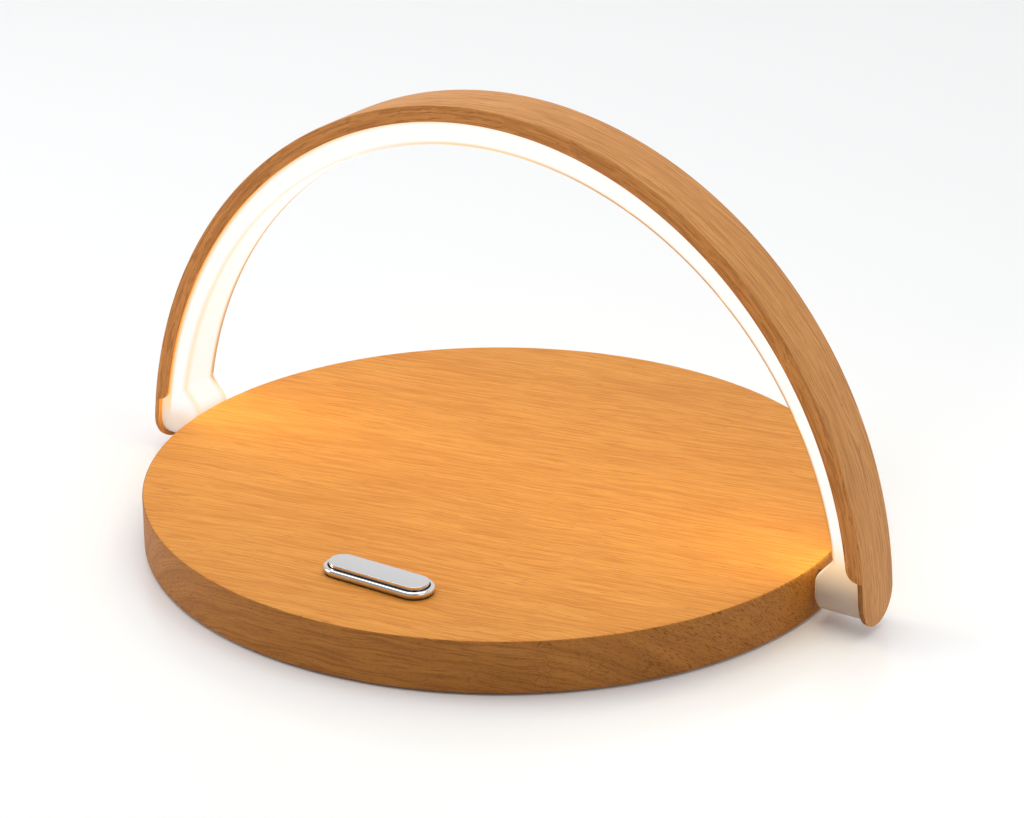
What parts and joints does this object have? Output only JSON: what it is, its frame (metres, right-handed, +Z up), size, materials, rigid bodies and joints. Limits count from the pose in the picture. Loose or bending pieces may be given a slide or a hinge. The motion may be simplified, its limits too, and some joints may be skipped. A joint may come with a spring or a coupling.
{
  "type": "wireless charging pad",
  "caption": "Round wooden wireless charging pad with a glowing wooden arch that folds flat over its rim, a metal press key in front and a power inlet at the rear.",
  "frame": {"origin": "on the floor, below the middle of the disc", "axes": "+X along the hinge axis of the arch, -Y towards the front with the key, +Z up"},
  "size_m": [0.2352, 0.2, 0.1247],
  "materials": {
    "oak_cover": "clear-oiled honey oak, satin",
    "oak_arch": "clear-oiled oak veneer, satin",
    "opal_light": "opal moulding, lit warm white",
    "key_chrome": "polished",
    "black_plastic": "fine moulded texture",
    "white_plastic": "plain",
    "foot_rubber": "matte",
    "fastener_steel": "zinc plated",
    "hinge_steel": "nickel plated",
    "bush_bronze": "sintered bronze",
    "coil_copper": "enamelled copper wire",
    "ferrite": "sintered, matte",
    "circuit_board": "solder mask",
    "chip_black": "moulded package",
    "capacitor_tan": "fired ceramic",
    "insert_aluminium": "drawn"
  },
  "bodies": {
    "base": {"base_cover": "oak_cover", "key_bezel": "key_chrome", "bottom_plate": "black_plastic", "tact_switch": "black_plastic", "coil_holder": "white_plastic", "coil_connector": "white_plastic", "light_connector": "white_plastic", "light_lead_base": "white_plastic", "foot_1": "foot_rubber", "foot_2": "foot_rubber", "foot_3": "foot_rubber", "foot_4": "foot_rubber", "coil_screw_1": "fastener_steel", "coil_screw_2": "fastener_steel", "coil_screw_3": "fastener_steel", "plate_screw_1": "fastener_steel", "plate_screw_2": "fastener_steel", "plate_screw_3": "fastener_steel", "plate_screw_4": "fastener_steel", "board_screw_1": "fastener_steel", "board_screw_2": "fastener_steel", "key_board_screw_1": "fastener_steel", "key_board_screw_2": "fastener_steel", "bracket_screw_right_1": "fastener_steel", "bracket_screw_right_2": "fastener_steel", "bracket_screw_left_1": "fastener_steel", "bracket_screw_left_2": "fastener_steel", "hinge_bracket_right": "hinge_steel", "hinge_bracket_left": "hinge_steel", "inlet_socket": "hinge_steel", "rim_bush_right": "bush_bronze", "rim_bush_left": "bush_bronze", "charging_coil": "coil_copper", "coil_lead": "coil_copper", "ferrite_sheet": "ferrite", "power_inductor": "ferrite", "main_board": "circuit_board", "key_board": "circuit_board", "charger_chip": "chip_black", "led_driver_chip": "chip_black", "inlet_tongue": "chip_black", "coil_capacitor_1": "capacitor_tan", "coil_capacitor_2": "capacitor_tan"},
    "arch": {"arch_shell": "oak_arch", "light_diffuser": "opal_light", "led_carrier": "insert_aluminium", "led_strip": "white_plastic", "light_lead_arch": "white_plastic", "hinge_shaft_right": "hinge_steel", "friction_washer_right": "bush_bronze", "spring_washer_right": "hinge_steel", "hinge_nut_right": "hinge_steel", "hub_insert_right": "insert_aluminium", "hinge_shaft_left": "hinge_steel", "friction_washer_left": "bush_bronze", "spring_washer_left": "hinge_steel", "hinge_nut_left": "hinge_steel", "hub_insert_left": "insert_aluminium"},
    "key": {"key_cap": "key_chrome", "switch_plunger": "white_plastic"}
  },
  "joints": [
    {"name": "arch_fold", "type": "hinge", "parent": "base", "child": "arch", "pos_m": [0, 0, 0.01055], "axis": [1, 0, 0], "range_deg": [-90, 90]},
    {"name": "key_press", "type": "slide", "parent": "base", "child": "key", "axis": [0, 0, -1], "range_m": [0, 0.0008], "stiffness_N_per_m": 1500}
  ]
}
